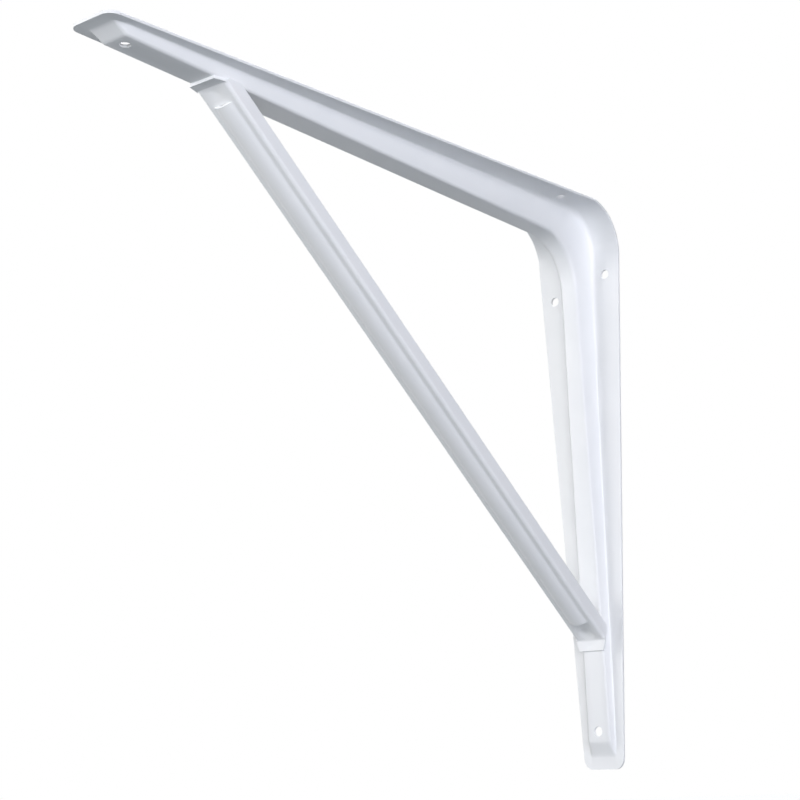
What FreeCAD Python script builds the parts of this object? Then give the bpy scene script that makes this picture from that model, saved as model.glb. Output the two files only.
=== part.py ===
"""Pressed steel shelf bracket: one hat-section arm folded to an L, and a channel brace welded across it.

Millimetres. The wall plane is X = 0, the shelf's underside is Z = 0 and the bracket's middle plane is Y = 0,
so the origin is the corner where wall and shelf meet. The shelf arm runs out along +X, the wall arm runs down
along -Z, and the hat sections rise towards the inside of the L.
"""
import FreeCAD, Part
import math
import os

from FreeCAD import Vector

# Arm pressing
SHELF_ARM_LENGTH = 500.0
WALL_ARM_LENGTH = 425.0
ARM_SHEET = 2.0
BACK_BEND_RADIUS = 35.0
INNER_BEND_RADIUS = 40.0
FLANGE_WIDTH_BEND = 73.6
SHELF_FLANGE_WIDTH_END = 35.8
WALL_FLANGE_WIDTH_END = 33.6
FLANGE_CORNER_RADIUS = 7.5
SHEET_EDGE_RADIUS = 0.5
SHELF_DEPTH_CORNER = 25.8
SHELF_DEPTH_END = 7.2
WALL_DEPTH_CORNER = 20.6
WALL_DEPTH_END = 6.8
SHELF_PLATEAU_BEND = 17.6
SHELF_PLATEAU_END = 20.4
WALL_PLATEAU_BEND = 12.6
WALL_PLATEAU_END = 19.4
SHELF_ROOT_BEND = 26.6
SHELF_ROOT_END = 25.6
WALL_ROOT_BEND = 23.4
WALL_ROOT_END = 22.4
ROOT_RADIUS = 1.2
PLATEAU_EDGE_RADIUS = 2.4

# Softer, wider walls that the press leaves near the fold
FLARE_LENGTH = 90.0
FLARE_WIDTH = 2.4
FLARE_ROOT_RADIUS = 4.0
FLARE_EDGE_RADIUS = 3.4

# Closed ends of the hat
END_RIM = 8.4
RAMP_LENGTH = 12.2
RAMP_ROOT_WIDTH = 22.0
RAMP_SIDE_RUN = 1.3
RAMP_EDGE_RADIUS = 4.2
RAMP_EASE = 0.15
RAMP_STEPS = 8
RIM_CREASE = 0.3

# Screw holes
SCREW_HOLE_DIAMETER = 7.0
END_HOLE_INSET = 27.5
SIDE_HOLE_OFFSET = 23.5
SHELF_HOLE_REACH = 58.0
WALL_HOLE_REACH = 51.0
HOLE_STAGGER = 13.0

# Brace strut
BRACE_SHEET = 2.0
BRACE_WIDTH = 25.2
BRACE_DEPTH = 10.4
BRACE_CORNER_RADIUS = 2.6
BRACE_CORNER_DEPTH = 3.4
BRACE_TOP_REACH = 403.5
BRACE_LOW_REACH = 331.0
TAB_LENGTH = 7.8
TAB_END_WIDTH = 21.0
TAB_BEND_RADIUS = 2.0
FLANK_OVERLAP = 1.2
BEAD_WIDTH = 17.0
BEAD_HEIGHT = 2.8
BEAD_TOP_GAP = 5.0
BEAD_LOW_GAP = 11.0
BEAD_FOOT_RADIUS = 3.2
WELD_DIMPLE_DIAMETER = 6.0
WELD_DIMPLE_DEPTH = 0.35

# Section stations along each flared stretch
FLARE_STEPS = 5

HOLE_CUT_MARGIN = 5.0
STRAIGHT_TOLERANCE = 1e-6
FLAT_TOLERANCE = 1e-5


def mix(first, last, share):
    """Value part of the way from first to last."""
    return first + (last - first) * share


def smooth_step(share):
    """Share eased at both ends."""
    share = min(max(share, 0.0), 1.0)
    return share * share * (3.0 - 2.0 * share)


def ramp_fall(share):
    """How far the closing ramp has fallen: a straight slope, rounded over a short stretch at both ends."""
    if share > 0.5:
        return 1.0 - ramp_fall(1.0 - share)
    if share < RAMP_EASE:
        return share * share / (2.0 * RAMP_EASE * (1.0 - RAMP_EASE))
    return (share - RAMP_EASE / 2.0) / (1.0 - RAMP_EASE)


# Where the inner fold's centre lies: inside radius from each plateau line
SHELF_DEPTH_SLOPE = (SHELF_DEPTH_CORNER - SHELF_DEPTH_END) / SHELF_ARM_LENGTH
WALL_DEPTH_SLOPE = (WALL_DEPTH_CORNER - WALL_DEPTH_END) / WALL_ARM_LENGTH
SHELF_SIDE = SHELF_DEPTH_CORNER + INNER_BEND_RADIUS
WALL_SIDE = WALL_DEPTH_CORNER + INNER_BEND_RADIUS
CENTRE_OUT = (WALL_SIDE - WALL_DEPTH_SLOPE * SHELF_SIDE) / (1.0 - SHELF_DEPTH_SLOPE * WALL_DEPTH_SLOPE)
CENTRE_DOWN = SHELF_SIDE - SHELF_DEPTH_SLOPE * CENTRE_OUT


class Arm:
    """One arm of the L: its length, its tapers from corner to end and how its section points lie in space."""

    def __init__(self, length, depths, plateaus, roots, flange_end, fold_start, along, inwards):
        self.length = length
        self.depths = depths
        self.plateaus = plateaus
        self.roots = roots
        self.flange_end = flange_end
        self.fold_start = fold_start
        self.along = along
        self.inwards = inwards

    def hat_depth(self, reach):
        """Depth of the hat over its back plane, at a distance from the corner."""
        return mix(*self.depths, reach / self.length)

    def half_plateau(self, reach):
        """Half the width of the hat's flat top."""
        return mix(*self.plateaus, reach / self.length) / 2

    def half_root(self, reach, flare):
        """Half the hat's width where its walls meet the flanges."""
        return (mix(*self.roots, reach / self.length) + flare * FLARE_WIDTH) / 2

    def half_flange(self, reach):
        """Half the flange width, constant round the fold and tapering along the arm."""
        share = max(reach - BACK_BEND_RADIUS, 0.0) / (self.length - BACK_BEND_RADIUS)
        return mix(FLANGE_WIDTH_BEND, self.flange_end, share) / 2

    def point(self, reach, y, depth):
        """Point in space from the distance along the arm, across it and up from its back plane."""
        return self.along * reach + self.inwards * depth + Vector(0, y, 0)

    def place(self, reach):
        """Function that puts section points in space at one distance along the arm."""
        return lambda y, depth: self.point(reach, y, depth)


SHELF_ARM = Arm(
    SHELF_ARM_LENGTH, (SHELF_DEPTH_CORNER, SHELF_DEPTH_END), (SHELF_PLATEAU_BEND, SHELF_PLATEAU_END),
    (SHELF_ROOT_BEND, SHELF_ROOT_END), SHELF_FLANGE_WIDTH_END, CENTRE_OUT, Vector(1, 0, 0), Vector(0, 0, -1),
)
WALL_ARM = Arm(
    WALL_ARM_LENGTH, (WALL_DEPTH_CORNER, WALL_DEPTH_END), (WALL_PLATEAU_BEND, WALL_PLATEAU_END),
    (WALL_ROOT_BEND, WALL_ROOT_END), WALL_FLANGE_WIDTH_END, CENTRE_DOWN, Vector(0, 0, -1), Vector(1, 0, 0),
)


class Section:
    """One cross-section of the hat: half widths, depth and corner roundings."""

    def __init__(self, arm, reach, flare, depth, flange_sheet):
        self.half_flange = arm.half_flange(reach)
        self.half_plateau = arm.half_plateau(reach)
        self.half_root = arm.half_root(reach, flare)
        self.depth = depth
        self.flange_sheet = flange_sheet
        self.root_radius = mix(ROOT_RADIUS, FLARE_ROOT_RADIUS, flare)
        self.edge_radius = mix(PLATEAU_EDGE_RADIUS, FLARE_EDGE_RADIUS, flare)

    def half_outline(self):
        """Corner points and tangent lengths of the +Y half: front side outwards-in, back side inwards-out."""
        rise = self.depth - self.flange_sheet
        run = self.half_root - self.half_plateau
        wall = math.hypot(rise, run)
        turn = math.tan(math.atan2(rise, run) / 2)
        limit = wall * 0.45
        root = max(min(self.root_radius * turn, limit), RIM_CREASE)
        edge = max(min(self.edge_radius * turn, limit), RIM_CREASE)
        back_root = root + ARM_SHEET * turn
        back_edge = max(edge - ARM_SHEET * turn, RIM_CREASE / 2)
        shift = ARM_SHEET * turn
        front = [
            ((self.half_root, self.flange_sheet), root),
            ((self.half_plateau, self.depth), edge),
        ]
        back = [
            ((self.half_plateau - shift, self.depth - ARM_SHEET), back_edge),
            ((self.half_root - shift, 0.0), back_root),
        ]
        return front, back

    def wire(self, place):
        """Closed wire of the section, each point put in space by place(y, depth)."""
        front, back = self.half_outline()
        edge = SHEET_EDGE_RADIUS
        sheet = self.flange_sheet
        front_rim = [((self.half_flange, sheet), edge)]
        back_rim = [((self.half_flange, 0.0), edge)]
        mirror = [((-y, depth), size) for (y, depth), size in reversed(front_rim + front)]
        mirror_back = [((-y, depth), size) for (y, depth), size in reversed(back + back_rim)]
        corners = front_rim + front + mirror + mirror_back + back + back_rim
        return rounded_wire(corners, place)


def rounded_wire(corners, place):
    """Closed wire through (first, second) corners, each with its own tangent length, put in space by place."""
    edges = []
    ends = []
    count = len(corners)
    for index, (corner, size) in enumerate(corners):
        here = Vector(*corner, 0)
        before = Vector(*corners[index - 1][0], 0) - here
        after = Vector(*corners[(index + 1) % count][0], 0) - here
        before.normalize()
        after.normalize()
        start = here + before * size
        end = here + after * size
        first, last = place(start.x, start.y), place(end.x, end.y)
        if ends:
            edges.append(Part.LineSegment(ends[-1], first).toShape())
        middle = arc_middle(here, start, end)
        if middle.distanceToPoint((start + end) * 0.5) > STRAIGHT_TOLERANCE:
            edges.append(Part.Arc(first, place(middle.x, middle.y), last).toShape())
        elif size > 0:
            edges.append(Part.LineSegment(first, last).toShape())
        ends += [first, last]
    edges.append(Part.LineSegment(ends[-1], ends[0]).toShape())
    return Part.Wire(edges)


def arc_middle(corner, start, end):
    """Middle point of the arc that leaves start and end towards the corner."""
    chord = (start + end) * 0.5
    towards = corner - chord
    rise = towards.Length
    half = (end - start).Length / 2
    if rise < 1e-9:
        return chord
    tangent = math.hypot(rise, half)
    sagitta = half * (tangent - half) / rise
    return chord + towards * (sagitta / rise)


def fold_reach(angle, inset):
    """Distance from the inner fold's centre to the L's back, moved in by inset, at an angle above level."""
    out = math.cos(angle)
    up = math.sin(angle)
    radius = BACK_BEND_RADIUS - inset
    if up > 0 and CENTRE_OUT - (CENTRE_DOWN - inset) * out / up >= BACK_BEND_RADIUS:
        return (CENTRE_DOWN - inset) / up
    if out > 0 and CENTRE_DOWN - (CENTRE_OUT - inset) * up / out >= BACK_BEND_RADIUS:
        return (CENTRE_OUT - inset) / out
    side = BACK_BEND_RADIUS - CENTRE_OUT
    height = CENTRE_DOWN - BACK_BEND_RADIUS
    along = -side * out + height * up
    return along + math.sqrt(along * along - side * side - height * height + radius * radius)


def fold_section(degrees):
    """Section wire in the plane through the inner fold's centre, at an angle above level."""
    angle = math.radians(degrees)
    back = fold_reach(angle, 0.0)
    sheet = back - fold_reach(angle, ARM_SHEET)
    share = degrees / 90.0
    section = Section(SHELF_ARM, CENTRE_OUT, 1.0, back - INNER_BEND_RADIUS, sheet)
    wall_side = Section(WALL_ARM, CENTRE_DOWN, 1.0, section.depth, sheet)
    section.half_root = mix(wall_side.half_root, section.half_root, smooth_step(share))
    section.half_plateau = mix(wall_side.half_plateau, section.half_plateau, smooth_step(share))
    foot_out = CENTRE_OUT - back * math.cos(angle)
    foot_down = CENTRE_DOWN - back * math.sin(angle)
    section.half_flange = min(SHELF_ARM.half_flange(foot_out), WALL_ARM.half_flange(foot_down))

    def place(y, depth):
        reach = back - depth
        return Vector(CENTRE_OUT - reach * math.cos(angle), y, -CENTRE_DOWN + reach * math.sin(angle))

    return section.wire(place)


def arm_section(arm, reach, flare=0.0):
    """Section wire on a straight stretch of an arm."""
    return Section(arm, reach, flare, arm.hat_depth(reach), ARM_SHEET).wire(arm.place(reach))


def end_section(arm, reach, share):
    """Section wire on the closing ramp, from full depth at share 0 to bare sheet at share 1."""
    depth = mix(arm.hat_depth(reach), ARM_SHEET, ramp_fall(share))
    section = Section(arm, reach, 0.0, depth, ARM_SHEET)
    section.half_root = mix(section.half_root, RAMP_ROOT_WIDTH / 2, share)
    section.half_plateau = mix(section.half_plateau, RAMP_ROOT_WIDTH / 2 - RAMP_SIDE_RUN, share)
    section.edge_radius = mix(PLATEAU_EDGE_RADIUS, RAMP_EDGE_RADIUS, smooth_step(2.0 * share))
    return section.wire(arm.place(reach))


def skin(wires, ruled):
    """Side faces through section wires, the flat ones as true planes."""
    faces = []
    for face in Part.makeLoft(wires, False, ruled).Faces:
        flat = face.findPlane(FLAT_TOLERANCE)
        faces.append(Part.Face(flat, face.OuterWire) if flat else face)
    return faces


def arm_run(arm):
    """Side faces of one arm from its flare to its closed end, and the end's own face."""
    flare_end = arm.fold_start + FLARE_LENGTH
    ramp_start = arm.length - END_RIM - RAMP_LENGTH
    flare = []
    for step in range(FLARE_STEPS + 1):
        share = step / FLARE_STEPS
        flare.append(arm_section(arm, arm.fold_start + FLARE_LENGTH * share, smooth_step(1.0 - share)))
    straight = [arm_section(arm, flare_end), arm_section(arm, ramp_start)]
    ramp = [straight[1]]
    for step in range(1, RAMP_STEPS + 1):
        share = step / RAMP_STEPS
        ramp.append(end_section(arm, ramp_start + RAMP_LENGTH * share, share))
    rim = [ramp[-1], end_section(arm, arm.length, 1.0)]
    faces = skin(flare, False) + skin(straight, True) + skin(ramp, True) + skin(rim, True)
    return faces + [Part.Face(rim[-1])]


def fold_run():
    """Side faces round the fold, in three stretches: two flat backs and the round one between them."""
    low_turn = math.degrees(math.atan2(CENTRE_DOWN - BACK_BEND_RADIUS, CENTRE_OUT))
    high_turn = math.degrees(math.atan2(CENTRE_DOWN, CENTRE_OUT - BACK_BEND_RADIUS))
    faces = []
    for first, last, steps in ((90.0, high_turn, 4), (high_turn, low_turn, 8), (low_turn, 0.0, 4)):
        faces += skin([fold_section(mix(first, last, step / steps)) for step in range(steps + 1)], False)
    return faces


def corner_trim(arm, side):
    """Waste outside the rounded corner at an arm's end, to be cut away."""
    half = arm.flange_end / 2
    radius = FLANGE_CORNER_RADIUS
    margin = 2.0
    inner_y = half - radius
    inner_reach = arm.length - radius
    outside = arm.half_flange(inner_reach) + margin
    diagonal = radius * math.sqrt(0.5)
    tangent_side = arm.point(inner_reach, side * half, -margin)
    tangent_end = arm.point(arm.length, side * inner_y, -margin)
    middle = arm.point(inner_reach + diagonal, side * (inner_y + diagonal), -margin)
    far_end = arm.point(arm.length + margin, side * inner_y, -margin)
    far_corner = arm.point(arm.length + margin, side * outside, -margin)
    far_side = arm.point(inner_reach, side * outside, -margin)
    edges = [
        Part.Arc(tangent_side, middle, tangent_end).toShape(),
        Part.LineSegment(tangent_end, far_end).toShape(),
        Part.LineSegment(far_end, far_corner).toShape(),
        Part.LineSegment(far_corner, far_side).toShape(),
        Part.LineSegment(far_side, tangent_side).toShape(),
    ]
    return Part.Face(Part.Wire(edges)).extrude(arm.inwards * (ARM_SHEET + 2 * margin))


def screw_hole(arm, reach, y):
    """Round cutter through the sheet, square to an arm's back plane."""
    start = arm.point(reach, y, -HOLE_CUT_MARGIN)
    return Part.makeCylinder(SCREW_HOLE_DIAMETER / 2, arm.depths[0] + 2 * HOLE_CUT_MARGIN, start, arm.inwards)


def arm_pressing():
    """The L-shaped hat-section arm, one piece of sheet."""
    skins = Part.Compound(arm_run(SHELF_ARM) + fold_run() + arm_run(WALL_ARM))
    skins.sewShape()
    solid = Part.Solid(skins.Shells[0]).removeSplitter()
    cutters = []
    for arm, near in ((SHELF_ARM, SHELF_HOLE_REACH), (WALL_ARM, WALL_HOLE_REACH)):
        cutters.append(screw_hole(arm, arm.length - END_HOLE_INSET, 0.0))
        cutters.append(screw_hole(arm, near, SIDE_HOLE_OFFSET))
        cutters.append(screw_hole(arm, near + HOLE_STAGGER, -SIDE_HOLE_OFFSET))
        cutters += [corner_trim(arm, side) for side in (1, -1)]
    for cutter in cutters:
        solid = solid.cut(cutter)
    return solid


def side_point(out, up):
    """Point in the bracket's middle plane."""
    return Vector(out, 0, up)


class BraceLine:
    """Directions and end points of the brace's front face and tabs, in the middle plane."""

    def __init__(self):
        top_depth = SHELF_ARM.hat_depth(BRACE_TOP_REACH) + BRACE_SHEET
        low_depth = WALL_ARM.hat_depth(BRACE_LOW_REACH) + BRACE_SHEET
        self.top = side_point(BRACE_TOP_REACH, -top_depth)
        self.low = side_point(low_depth, -BRACE_LOW_REACH)
        self.length = (self.low - self.top).Length
        self.along = (self.low - self.top) * (1.0 / self.length)
        self.inward = side_point(self.along.z, -self.along.x)
        self.shelf_line = side_point(1.0, SHELF_DEPTH_SLOPE)
        self.shelf_line.normalize()
        self.shelf_normal = side_point(-self.shelf_line.z, self.shelf_line.x)
        self.wall_line = side_point(-WALL_DEPTH_SLOPE, -1.0)
        self.wall_line.normalize()
        self.wall_normal = side_point(self.wall_line.z, -self.wall_line.x)

    def point(self, along, inward, y=0.0):
        """Point at a distance down the brace and a depth behind its front face."""
        return self.top + self.along * along + self.inward * inward + Vector(0, y, 0)

    def top_setback(self, radius):
        """Tangent length of a rounding at the upper tab's fold."""
        return radius * math.tan((math.pi - self.shelf_line.getAngle(self.along)) / 2)

    def low_setback(self, radius):
        """Tangent length of a rounding at the lower tab's fold."""
        return radius * math.tan((math.pi - self.wall_line.getAngle(self.along * -1)) / 2)


def crossing(first, first_way, second, second_way):
    """Where two lines of the middle plane meet."""
    gap = second - first
    denominator = first_way.x * second_way.z - first_way.z * second_way.x
    share = (gap.x * second_way.z - gap.z * second_way.x) / denominator
    return first + first_way * share


def brace_strip(line):
    """Web and both tabs as one bent strip of full width, before trimming."""
    tab_top = line.top + line.shelf_line * TAB_LENGTH
    tab_low = line.low + line.wall_line * TAB_LENGTH
    inner_web = line.point(0.0, BRACE_SHEET)
    fold_top = crossing(line.top + line.shelf_normal * BRACE_SHEET, line.shelf_line, inner_web, line.along)
    fold_low = crossing(line.low + line.wall_normal * BRACE_SHEET, line.wall_line, inner_web, line.along)
    outer_radius = TAB_BEND_RADIUS + BRACE_SHEET
    corners = [
        (tab_top, 0.0),
        (line.top, line.top_setback(TAB_BEND_RADIUS)),
        (line.low, line.low_setback(TAB_BEND_RADIUS)),
        (tab_low, 0.0),
        (tab_low + line.wall_normal * BRACE_SHEET, 0.0),
        (fold_low, line.low_setback(outer_radius)),
        (fold_top, line.top_setback(outer_radius)),
        (tab_top + line.shelf_normal * BRACE_SHEET, 0.0),
    ]
    wire = rounded_wire([((point.x, point.z), size) for point, size in corners], side_point)
    return slab(wire, -BRACE_WIDTH / 2, BRACE_WIDTH / 2)


def slab(wire, low, high):
    """Side outline given a thickness across the bracket."""
    face = Part.Face(wire)
    face.translate(Vector(0, low, 0))
    return face.extrude(Vector(0, high - low, 0))


def polygon(points):
    """Closed wire of straight edges."""
    return Part.makePolygon(points + [points[0]])


def brace_web(line, start, stop):
    """Web with both rounded corners, between two distances down the brace."""
    half = BRACE_WIDTH / 2
    inner_radius = BRACE_CORNER_RADIUS - BRACE_SHEET
    corners = [
        ((half, BRACE_CORNER_DEPTH), 0.0),
        ((half, 0.0), BRACE_CORNER_RADIUS),
        ((-half, 0.0), BRACE_CORNER_RADIUS),
        ((-half, BRACE_CORNER_DEPTH), 0.0),
        ((-half + BRACE_SHEET, BRACE_CORNER_DEPTH), 0.0),
        ((-half + BRACE_SHEET, BRACE_SHEET), inner_radius),
        ((half - BRACE_SHEET, BRACE_SHEET), inner_radius),
        ((half - BRACE_SHEET, BRACE_CORNER_DEPTH), 0.0),
    ]
    wire = rounded_wire(corners, lambda y, depth: line.point(start, depth, y))
    return Part.Face(wire).extrude(line.along * (stop - start))


def brace_flanks(line, start, stop):
    """Both flanks, their ends cut parallel to the plateaus and reaching a little past them beside the hat."""
    top_trim = line.top + line.shelf_normal * (BRACE_SHEET + FLANK_OVERLAP)
    low_trim = line.low + line.wall_normal * (BRACE_SHEET + FLANK_OVERLAP)
    inner = line.point(0.0, BRACE_DEPTH)
    wire = polygon([
        line.point(start, BRACE_CORNER_DEPTH),
        crossing(line.point(start, 0.0), line.inward, top_trim, line.shelf_line),
        crossing(inner, line.along, top_trim, line.shelf_line),
        crossing(inner, line.along, low_trim, line.wall_line),
        crossing(line.point(stop, 0.0), line.inward, low_trim, line.wall_line),
        line.point(stop, BRACE_CORNER_DEPTH),
    ])
    half = BRACE_WIDTH / 2
    return [slab(wire, half - BRACE_SHEET, half), slab(wire, -half, -half + BRACE_SHEET)]


class BeadSection:
    """Cross-section of the bead: one crown arc and a foot arc at each side, moved in by inset."""

    def __init__(self, line, along, inset, low_depth):
        half = BEAD_WIDTH / 2
        crown = (half * half + BEAD_HEIGHT * BEAD_HEIGHT) / (2 * BEAD_HEIGHT) - BEAD_FOOT_RADIUS
        self.line = line
        self.along = along
        self.half = half
        self.low_depth = low_depth
        self.lean = math.asin(half / (crown + BEAD_FOOT_RADIUS))
        self.crown_depth = crown - BEAD_HEIGHT
        self.crown_radius = crown - inset
        self.foot_radius = BEAD_FOOT_RADIUS + inset

    def on_crown(self, angle):
        """Point on the crown arc, at an angle from its top."""
        depth = self.crown_depth - self.crown_radius * math.cos(angle)
        return self.line.point(self.along, depth, self.crown_radius * math.sin(angle))

    def on_foot(self, angle, side):
        """Point on a foot arc, at an angle from its lowest point."""
        depth = -BEAD_FOOT_RADIUS + self.foot_radius * math.cos(angle)
        return self.line.point(self.along, depth, side * (self.half - self.foot_radius * math.sin(angle)))

    def deep_point(self, y):
        """Point on the level that the section is filled down to."""
        return self.line.point(self.along, self.low_depth, y)

    def foot_edges(self, side):
        """Foot arc and straight side below it, from the crown down."""
        arc = Part.Arc(self.on_crown(side * self.lean), self.on_foot(self.lean / 2, side), self.on_foot(0.0, side))
        straight = Part.LineSegment(self.on_foot(0.0, side), self.deep_point(side * self.half))
        return [arc.toShape(), straight.toShape()]

    def whole(self):
        """Face over the full width."""
        crown = Part.Arc(self.on_crown(-self.lean), self.on_crown(0.0), self.on_crown(self.lean))
        base = Part.LineSegment(self.deep_point(self.half), self.deep_point(-self.half))
        edges = [crown.toShape()] + self.foot_edges(1) + [base.toShape()] + self.foot_edges(-1)
        return Part.Face(Part.Wire(Part.__sortEdges__(edges)))

    def half_face(self):
        """Face over the +Y half."""
        crown = Part.Arc(self.on_crown(0.0), self.on_crown(self.lean / 2), self.on_crown(self.lean))
        base = Part.LineSegment(self.deep_point(self.half), self.deep_point(0.0))
        middle = Part.LineSegment(self.deep_point(0.0), self.on_crown(0.0))
        edges = [crown.toShape()] + self.foot_edges(1) + [base.toShape(), middle.toShape()]
        return Part.Face(Part.Wire(Part.__sortEdges__(edges)))


def bead_bodies(line, inset, low_depth):
    """Bar and round ends under the bead's surface, moved in by inset."""
    start = BEAD_TOP_GAP + BEAD_WIDTH / 2
    stop = line.length - BEAD_LOW_GAP - BEAD_WIDTH / 2
    first = BeadSection(line, start, inset, low_depth)
    last = BeadSection(line, stop, inset, low_depth)
    return [
        first.whole().extrude(line.along * (stop - start)),
        first.half_face().revolve(line.point(start, 0.0), line.inward, 180),
        last.half_face().revolve(line.point(stop, 0.0), line.inward, -180),
    ]


def tab_trims(line):
    """Wedges that narrow both tabs towards their ends."""
    half = BRACE_WIDTH / 2
    end_half = TAB_END_WIDTH / 2
    margin = 1.0
    solids = []
    for fold, way in ((line.top, line.shelf_line), (line.low, line.wall_line)):
        square = Vector(-way.z, 0, way.x)
        for side in (1, -1):
            points = [
                fold + Vector(0, side * half, 0),
                fold + way * TAB_LENGTH + Vector(0, side * end_half, 0),
                fold + way * (TAB_LENGTH + margin) + Vector(0, side * end_half, 0),
                fold + way * (TAB_LENGTH + margin) + Vector(0, side * (half + margin), 0),
                fold + Vector(0, side * (half + margin), 0),
            ]
            face = Part.Face(polygon(points))
            face.translate(square * (-2 * BRACE_SHEET))
            solids.append(face.extrude(square * (4 * BRACE_SHEET)))
    return solids


def weld_dimples(line):
    """Shallow round dents left by the spot welds, one in each tab's outer face."""
    half = WELD_DIMPLE_DIAMETER / 2
    radius = (half * half + WELD_DIMPLE_DEPTH * WELD_DIMPLE_DEPTH) / (2 * WELD_DIMPLE_DEPTH)
    solids = []
    for fold, way, normal in (
        (line.top, line.shelf_line, line.shelf_normal),
        (line.low, line.wall_line, line.wall_normal),
    ):
        centre = fold + way * (TAB_LENGTH / 2) - normal * (radius - WELD_DIMPLE_DEPTH)
        solids.append(Part.makeSphere(radius, centre))
    return solids


def brace_strut():
    """The channel brace with its raised bead and two bent tabs, one piece of sheet."""
    line = BraceLine()
    start = line.top_setback(TAB_BEND_RADIUS)
    stop = line.length - line.low_setback(TAB_BEND_RADIUS)
    flat_edge = BRACE_WIDTH / 2 - BRACE_CORNER_RADIUS
    shoulder = polygon([
        line.point(start, -BRACE_WIDTH),
        line.point(stop, -BRACE_WIDTH),
        line.point(stop, BRACE_WIDTH),
        line.point(start, BRACE_WIDTH),
    ])
    strip = brace_strip(line)
    trims = [slab(shoulder, flat_edge, BRACE_WIDTH), slab(shoulder, -BRACE_WIDTH, -flat_edge)] + tab_trims(line)
    for trim in trims:
        strip = strip.cut(trim)
    solid = brace_web(line, start, stop).fuse(strip)
    for piece in brace_flanks(line, start, stop) + bead_bodies(line, 0.0, BRACE_SHEET / 2):
        solid = solid.fuse(piece)
    for waste in bead_bodies(line, BRACE_SHEET, BRACE_DEPTH) + weld_dimples(line):
        solid = solid.cut(waste)
    return solid.removeSplitter()


def main():
    """Builds both pieces and writes them to parts/."""
    os.makedirs("parts", exist_ok=True)
    for name, build in (("arm_pressing", arm_pressing), ("brace_strut", brace_strut)):
        shape = build()
        solids = shape.Solids
        print(name, "solids", len(solids), "valid", shape.isValid(), "volume", round(shape.Volume, 1))
        solids[0].exportStep(f"parts/{name}.step")


main()
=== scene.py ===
"""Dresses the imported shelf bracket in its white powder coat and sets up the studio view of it."""

import logging
import math
from dataclasses import dataclass

import bpy
from mathutils import Matrix, Vector


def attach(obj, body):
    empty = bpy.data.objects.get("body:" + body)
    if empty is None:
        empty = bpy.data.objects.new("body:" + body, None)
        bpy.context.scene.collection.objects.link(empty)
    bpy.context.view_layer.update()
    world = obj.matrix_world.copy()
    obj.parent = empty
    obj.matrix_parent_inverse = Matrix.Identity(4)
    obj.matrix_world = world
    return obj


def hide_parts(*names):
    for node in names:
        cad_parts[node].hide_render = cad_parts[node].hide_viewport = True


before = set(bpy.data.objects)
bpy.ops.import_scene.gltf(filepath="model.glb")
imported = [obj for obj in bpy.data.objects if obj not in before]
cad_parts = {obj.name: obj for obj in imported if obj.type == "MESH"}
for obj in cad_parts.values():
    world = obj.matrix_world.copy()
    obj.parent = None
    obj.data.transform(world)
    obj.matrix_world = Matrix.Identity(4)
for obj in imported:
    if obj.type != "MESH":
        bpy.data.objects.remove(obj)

logging.basicConfig(level=logging.INFO, format="%(message)s")
LOG = logging.getLogger("shelf_bracket")

MM_PER_METRE = 1000.0
WHITE = "#FFFFFF"


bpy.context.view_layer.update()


def linear(hex_colour: str) -> tuple[float, float, float, float]:
    """Turns an sRGB colour into the linear one that shaders and lamps take.

    Args:
        hex_colour: the colour in hex digits, such as "#F2F3F5".

    Returns:
        Linear red, green and blue, and an alpha of 1.
    """

    def channel(value: int) -> float:
        """Takes one channel, from 0 to 255, through the sRGB curve."""
        part = value / 255
        return part / 12.92 if part <= 0.04045 else ((part + 0.055) / 1.055) ** 2.4

    digits = hex_colour.lstrip("#")
    red, green, blue = (channel(int(digits[i:i + 2], 16)) for i in (0, 2, 4))
    return red, green, blue, 1.0


def add_node(
    tree: bpy.types.NodeTree, kind: str, settings: dict | None = None, values: dict | None = None,
    links: dict | None = None,
) -> bpy.types.Node:
    """Adds a node with its settings, its constant values and its incoming links.

    Args:
        tree: the node tree that gets the node.
        kind: the node's type name.
        settings: node properties by name.
        values: constant input values by input name or number.
        links: the output sockets that feed inputs, by input name or number.

    Returns:
        The new node.
    """
    node = tree.nodes.new(kind)
    for name, value in (settings or {}).items():
        setattr(node, name, value)
    for name, value in (values or {}).items():
        node.inputs[name].default_value = value
    for name, socket in (links or {}).items():
        tree.links.new(socket, node.inputs[name])
    return node


def looked_at(tree: bpy.types.NodeTree) -> bpy.types.NodeSocket:
    """Adds a factor that is 1 for what is seen directly, in gloss or through glass, and 0 for lighting.

    Args:
        tree: the node tree that gets the nodes.

    Returns:
        The factor's output socket.
    """
    path = add_node(tree, "ShaderNodeLightPath")
    factor = path.outputs["Is Camera Ray"]
    for kind in ("Is Glossy Ray", "Is Transmission Ray"):
        both = add_node(
            tree, "ShaderNodeMath", settings={"operation": "MAXIMUM"},
            links={0: factor, 1: path.outputs[kind]},
        )
        factor = both.outputs["Value"]
    return factor


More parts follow.
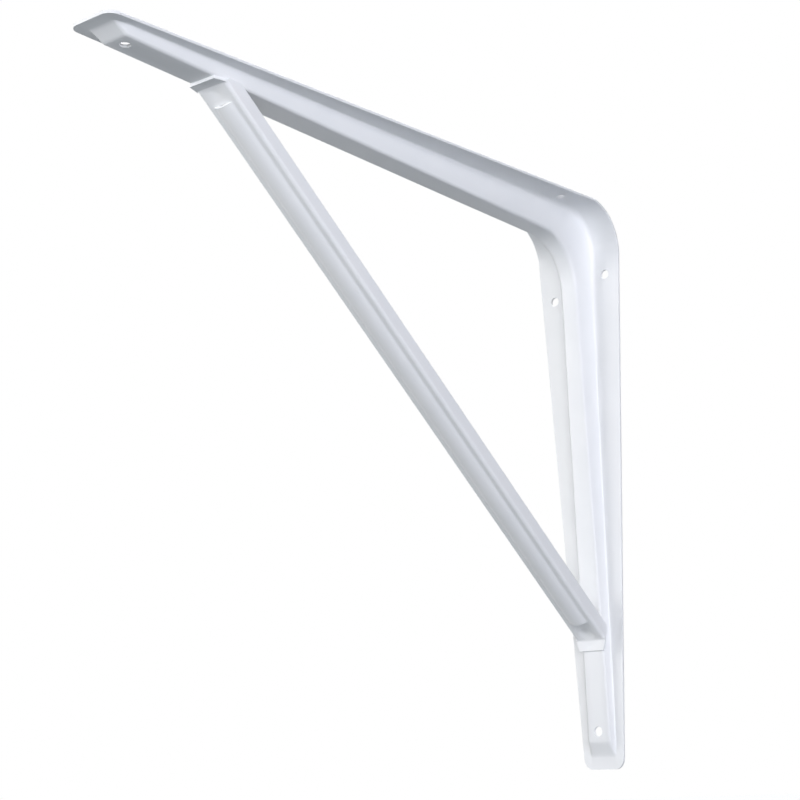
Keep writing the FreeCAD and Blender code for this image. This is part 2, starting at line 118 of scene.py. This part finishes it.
@dataclass(frozen=True)
class PowderCoat:
    """White satin powder coat on steel, sprayed on as powder and baked.

    To the eye it is an even, slightly cool white with a soft sheen and a faint orange peel. It lies a little
    thicker in one place than in the next, so tone and sheen drift very slightly over a few centimetres.
    The grain is drawn coarser than the real one, which is too fine to show.
    """

    name: str = "white_powder_coat"
    thick_colour: str = "#F5F6F8"
    thin_colour: str = "#EFF1F4"
    smooth_roughness: float = 0.36
    rough_roughness: float = 0.44
    coat_ior: float = 1.5
    drift_size_mm: float = 24.0
    drift_detail: float = 2.0
    peel_size_mm: float = 1.6
    peel_height_mm: float = 0.006
    peel_detail: float = 1.0
    grain_size_mm: float = 0.35
    grain_height_mm: float = 0.0012
    grain_detail: float = 0.0
    detail_share: float = 0.4
    relief_strength: float = 0.3

    def build(self) -> bpy.types.Material:
        """Makes the material.

        Returns:
            The white coat, for both pieces.
        """
        material = bpy.data.materials.new(self.name)
        material.use_nodes = True
        tree = material.node_tree
        shader = tree.nodes["Principled BSDF"]
        shader.inputs["IOR"].default_value = self.coat_ior
        place = add_node(tree, "ShaderNodeTexCoord").outputs["Object"]
        drift = self.noise(tree, place, self.drift_size_mm, self.drift_detail)
        tone = add_node(
            tree, "ShaderNodeMix", settings={"data_type": "RGBA"},
            values={"A": linear(self.thin_colour), "B": linear(self.thick_colour)}, links={"Factor": drift},
        )
        sheen = add_node(
            tree, "ShaderNodeMapRange",
            values={"To Min": self.rough_roughness, "To Max": self.smooth_roughness}, links={"Value": drift},
        )
        tree.links.new(tone.outputs["Result"], shader.inputs["Base Color"])
        tree.links.new(sheen.outputs["Result"], shader.inputs["Roughness"])
        peel_height = self.noise(tree, place, self.peel_size_mm, self.peel_detail)
        peel = self.bump(tree, peel_height, self.peel_height_mm, None)
        grain_height = self.noise(tree, place, self.grain_size_mm, self.grain_detail)
        grain = self.bump(tree, grain_height, self.grain_height_mm, peel)
        tree.links.new(grain, shader.inputs["Normal"])
        return material

    def noise(
        self, tree: bpy.types.NodeTree, place: bpy.types.NodeSocket, size_mm: float, detail: float,
    ) -> bpy.types.NodeSocket:
        """Adds soft noise on Object coordinates, which are metres.

        Args:
            tree: the node tree that gets the node.
            place: the coordinates' output socket.
            size_mm: the distance from one bump to the next.
            detail: how many finer layers the noise has.

        Returns:
            The noise's value, from 0 to 1.
        """
        node = add_node(
            tree, "ShaderNodeTexNoise",
            values={"Scale": MM_PER_METRE / size_mm, "Detail": detail, "Roughness": self.detail_share},
            links={"Vector": place},
        )
        return node.outputs["Fac"]

    def bump(
        self, tree: bpy.types.NodeTree, height: bpy.types.NodeSocket, height_mm: float,
        under: bpy.types.NodeSocket | None,
    ) -> bpy.types.NodeSocket:
        """Adds relief.

        Args:
            tree: the node tree that gets the node.
            height: the relief's shape, from 0 to 1.
            height_mm: the relief's height, before relief_strength softens it.
            under: the coarser relief that it lies on, if there is one.

        Returns:
            The relief's normal.
        """
        node = add_node(
            tree, "ShaderNodeBump",
            values={"Strength": self.relief_strength, "Distance": height_mm / MM_PER_METRE},
            links={"Height": height, "Normal": under} if under else {"Height": height},
        )
        return node.outputs["Normal"]


@dataclass
class PressedPiece:
    """A sheet-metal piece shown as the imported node's own shape, joined up and shaded smooth.

    Args:
        node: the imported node's name.
        name: the piece's name in the scene.
        merge_distance: how close two corners are to become one, in metres.
        smooth_angle: the sharpest fold that still shades smooth, in radians.
    """

    node: str
    name: str
    merge_distance: float = 2e-6
    smooth_angle: float = 0.6

    def build(self) -> bpy.types.Object:
        """Copies the node's mesh, joins its triangles and smooths them.

        Returns:
            The new piece, not yet dressed.
        """
        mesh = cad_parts[self.node].data.copy()
        mesh.name = self.name
        mesh.materials.clear()
        piece = bpy.data.objects.new(self.name, mesh)
        bpy.context.scene.collection.objects.link(piece)
        bpy.ops.object.select_all(action="DESELECT")
        piece.select_set(True)
        bpy.context.view_layer.objects.active = piece
        bpy.ops.mesh.customdata_custom_splitnormals_clear()
        bpy.ops.object.mode_set(mode="EDIT")
        bpy.ops.mesh.select_all(action="SELECT")
        bpy.ops.mesh.remove_doubles(threshold=self.merge_distance)
        bpy.ops.mesh.normals_make_consistent(inside=False)
        bpy.ops.object.mode_set(mode="OBJECT")
        bpy.ops.object.shade_smooth_by_angle(angle=self.smooth_angle)
        return piece

    def dress(self, piece: bpy.types.Object, coat: bpy.types.Material) -> None:
        """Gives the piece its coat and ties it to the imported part.

        Args:
            piece: the piece that build returned.
            coat: the finish.
        """
        piece.data.materials.append(coat)
        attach(piece, "root")
        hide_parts(self.node)
        LOG.info("%s: %d faces", piece.name, len(piece.data.polygons))


@dataclass(frozen=True)
class Camera:
    """The photograph's viewpoint, from below and in front of the bracket, in metres."""

    place: tuple[float, float, float] = (1.08619, 0.69014, -0.41913)
    ahead: tuple[float, float, float] = (-0.76118, -0.61308, 0.21152)
    right: tuple[float, float, float] = (-0.63167, 0.77474, -0.02761)
    sensor: float = 36.0
    lens: float = 76.316
    clip_start: float = 0.01
    clip_end: float = 100.0

    def build(self) -> None:
        """Adds the camera and makes it the scene's."""
        data = bpy.data.cameras.new("photo_view")
        data.sensor_width = self.sensor
        data.lens = self.lens
        data.clip_start = self.clip_start
        data.clip_end = self.clip_end
        camera = bpy.data.objects.new("photo_view", data)
        bpy.context.scene.collection.objects.link(camera)
        back = -Vector(self.ahead).normalized()
        right = Vector(self.right).normalized()
        up = back.cross(right).normalized()
        right = up.cross(back).normalized()
        turn = Matrix((right, up, back)).transposed()
        camera.matrix_world = Matrix.Translation(self.place) @ turn.to_4x4()
        bpy.context.scene.camera = camera


@dataclass(frozen=True)
class SoftLight:
    """One soft round lamp, given by the direction it stands in and the level it gives a facing surface."""

    name: str
    towards: tuple[float, float, float]
    level: float
    distance: float = 2.6
    size: float = 1.6
    colour: str = WHITE

    def build(self, centre: Vector) -> None:
        """Adds the lamp, facing the bracket's middle.

        Args:
            centre: the bracket's middle, in metres.
        """
        data = bpy.data.lights.new(self.name, "AREA")
        data.shape = "DISK"
        data.size = self.size
        data.color = linear(self.colour)[:3]
        # A matt white surface in the middle that faces the lamp then shows `level` of full white.
        data.energy = self.level * math.pi**2 * self.distance**2
        lamp = bpy.data.objects.new(self.name, data)
        bpy.context.scene.collection.objects.link(lamp)
        way = Vector(self.towards).normalized()
        lamp.location = centre + way * self.distance
        lamp.rotation_mode = "QUATERNION"
        lamp.rotation_quaternion = way.to_track_quat("Z", "Y")
        # The lamp's disc stays out of the picture in views that look towards it.
        lamp.visible_camera = False


@dataclass(frozen=True)
class Studio:
    """A plain white studio: an even surround, a floor well below the bracket and the soft lamps."""

    surround_level: float = 0.01
    surround_colour: str = "#F1F5FF"
    floor_height: float = -2.6
    floor_size: float = 800.0
    floor_colour: str = "#74828C"
    floor_roughness: float = 0.9
    floor_glow: float = 0.9
    centre: tuple[float, float, float] = (0.2, 0.0, -0.18)
    lamps: tuple[SoftLight, ...] = (
        SoftLight("main_lamp", (0.76, 0.61, 0.02), 0.48),
        SoftLight("near_side_lamp", (0.30, 0.93, 0.05), 0.45, colour="#F0F2FF"),
        SoftLight("far_side_lamp", (0.62, -0.78, 0.12), 0.52),
        SoftLight("low_lamp", (0.45, 0.70, -0.35), 0.06, distance=1.6, size=1.0),
        SoftLight("tip_lamp", (0.97, -0.13, 0.17), 0.09, distance=0.77, size=0.3),
        SoftLight("back_lamp", (-0.65, -0.25, 0.72), 0.85),
    )

    def build(self) -> None:
        """Adds the surround, the floor and the lamps."""
        self.surround()
        self.floor()
        for lamp in self.lamps:
            lamp.build(Vector(self.centre))

    def surround(self) -> None:
        """Adds the world: white to the eye, and an even, much weaker light on the bracket."""
        world = bpy.data.worlds.new("studio")
        world.use_nodes = True
        tree = world.node_tree
        tree.nodes.clear()
        light = add_node(
            tree, "ShaderNodeBackground",
            values={"Color": linear(self.surround_colour), "Strength": self.surround_level},
        )
        seen = add_node(tree, "ShaderNodeBackground", values={"Color": linear(WHITE), "Strength": 1.0})
        mixed = add_node(
            tree, "ShaderNodeMixShader",
            links={"Fac": looked_at(tree), 1: light.outputs["Background"], 2: seen.outputs["Background"]},
        )
        add_node(tree, "ShaderNodeOutputWorld", links={"Surface": mixed.outputs["Shader"]})
        bpy.context.scene.world = world

    def floor(self) -> None:
        """Adds a wide matt floor, far enough down for views from below."""
        bpy.ops.object.select_all(action="DESELECT")
        bpy.ops.mesh.primitive_plane_add(size=self.floor_size, location=(0, 0, self.floor_height))
        floor = bpy.context.object
        floor.name = "studio_floor"
        material = bpy.data.materials.new("pale_floor")
        material.use_nodes = True
        tree = material.node_tree
        shader = tree.nodes["Principled BSDF"]
        shader.inputs["Base Color"].default_value = linear(self.floor_colour)
        shader.inputs["Roughness"].default_value = self.floor_roughness
        shader.inputs["Emission Color"].default_value = linear(WHITE)
        # The glow whitens the floor for the eye only, and doesn't count as lighting.
        glow = add_node(
            tree, "ShaderNodeMath", settings={"operation": "MULTIPLY"}, values={1: self.floor_glow},
            links={0: looked_at(tree)},
        )
        tree.links.new(glow.outputs["Value"], shader.inputs["Emission Strength"])
        floor.data.materials.append(material)


def main() -> None:
    """Builds the camera, the bracket and the studio."""
    Camera().build()
    coat = PowderCoat().build()
    for piece in (PressedPiece("arm_pressing", "arm"), PressedPiece("brace_strut", "brace")):
        piece.dress(piece.build(), coat)
    Studio().build()
    bpy.context.scene.view_settings.view_transform = "Standard"


if __name__ == "__main__":
    main()
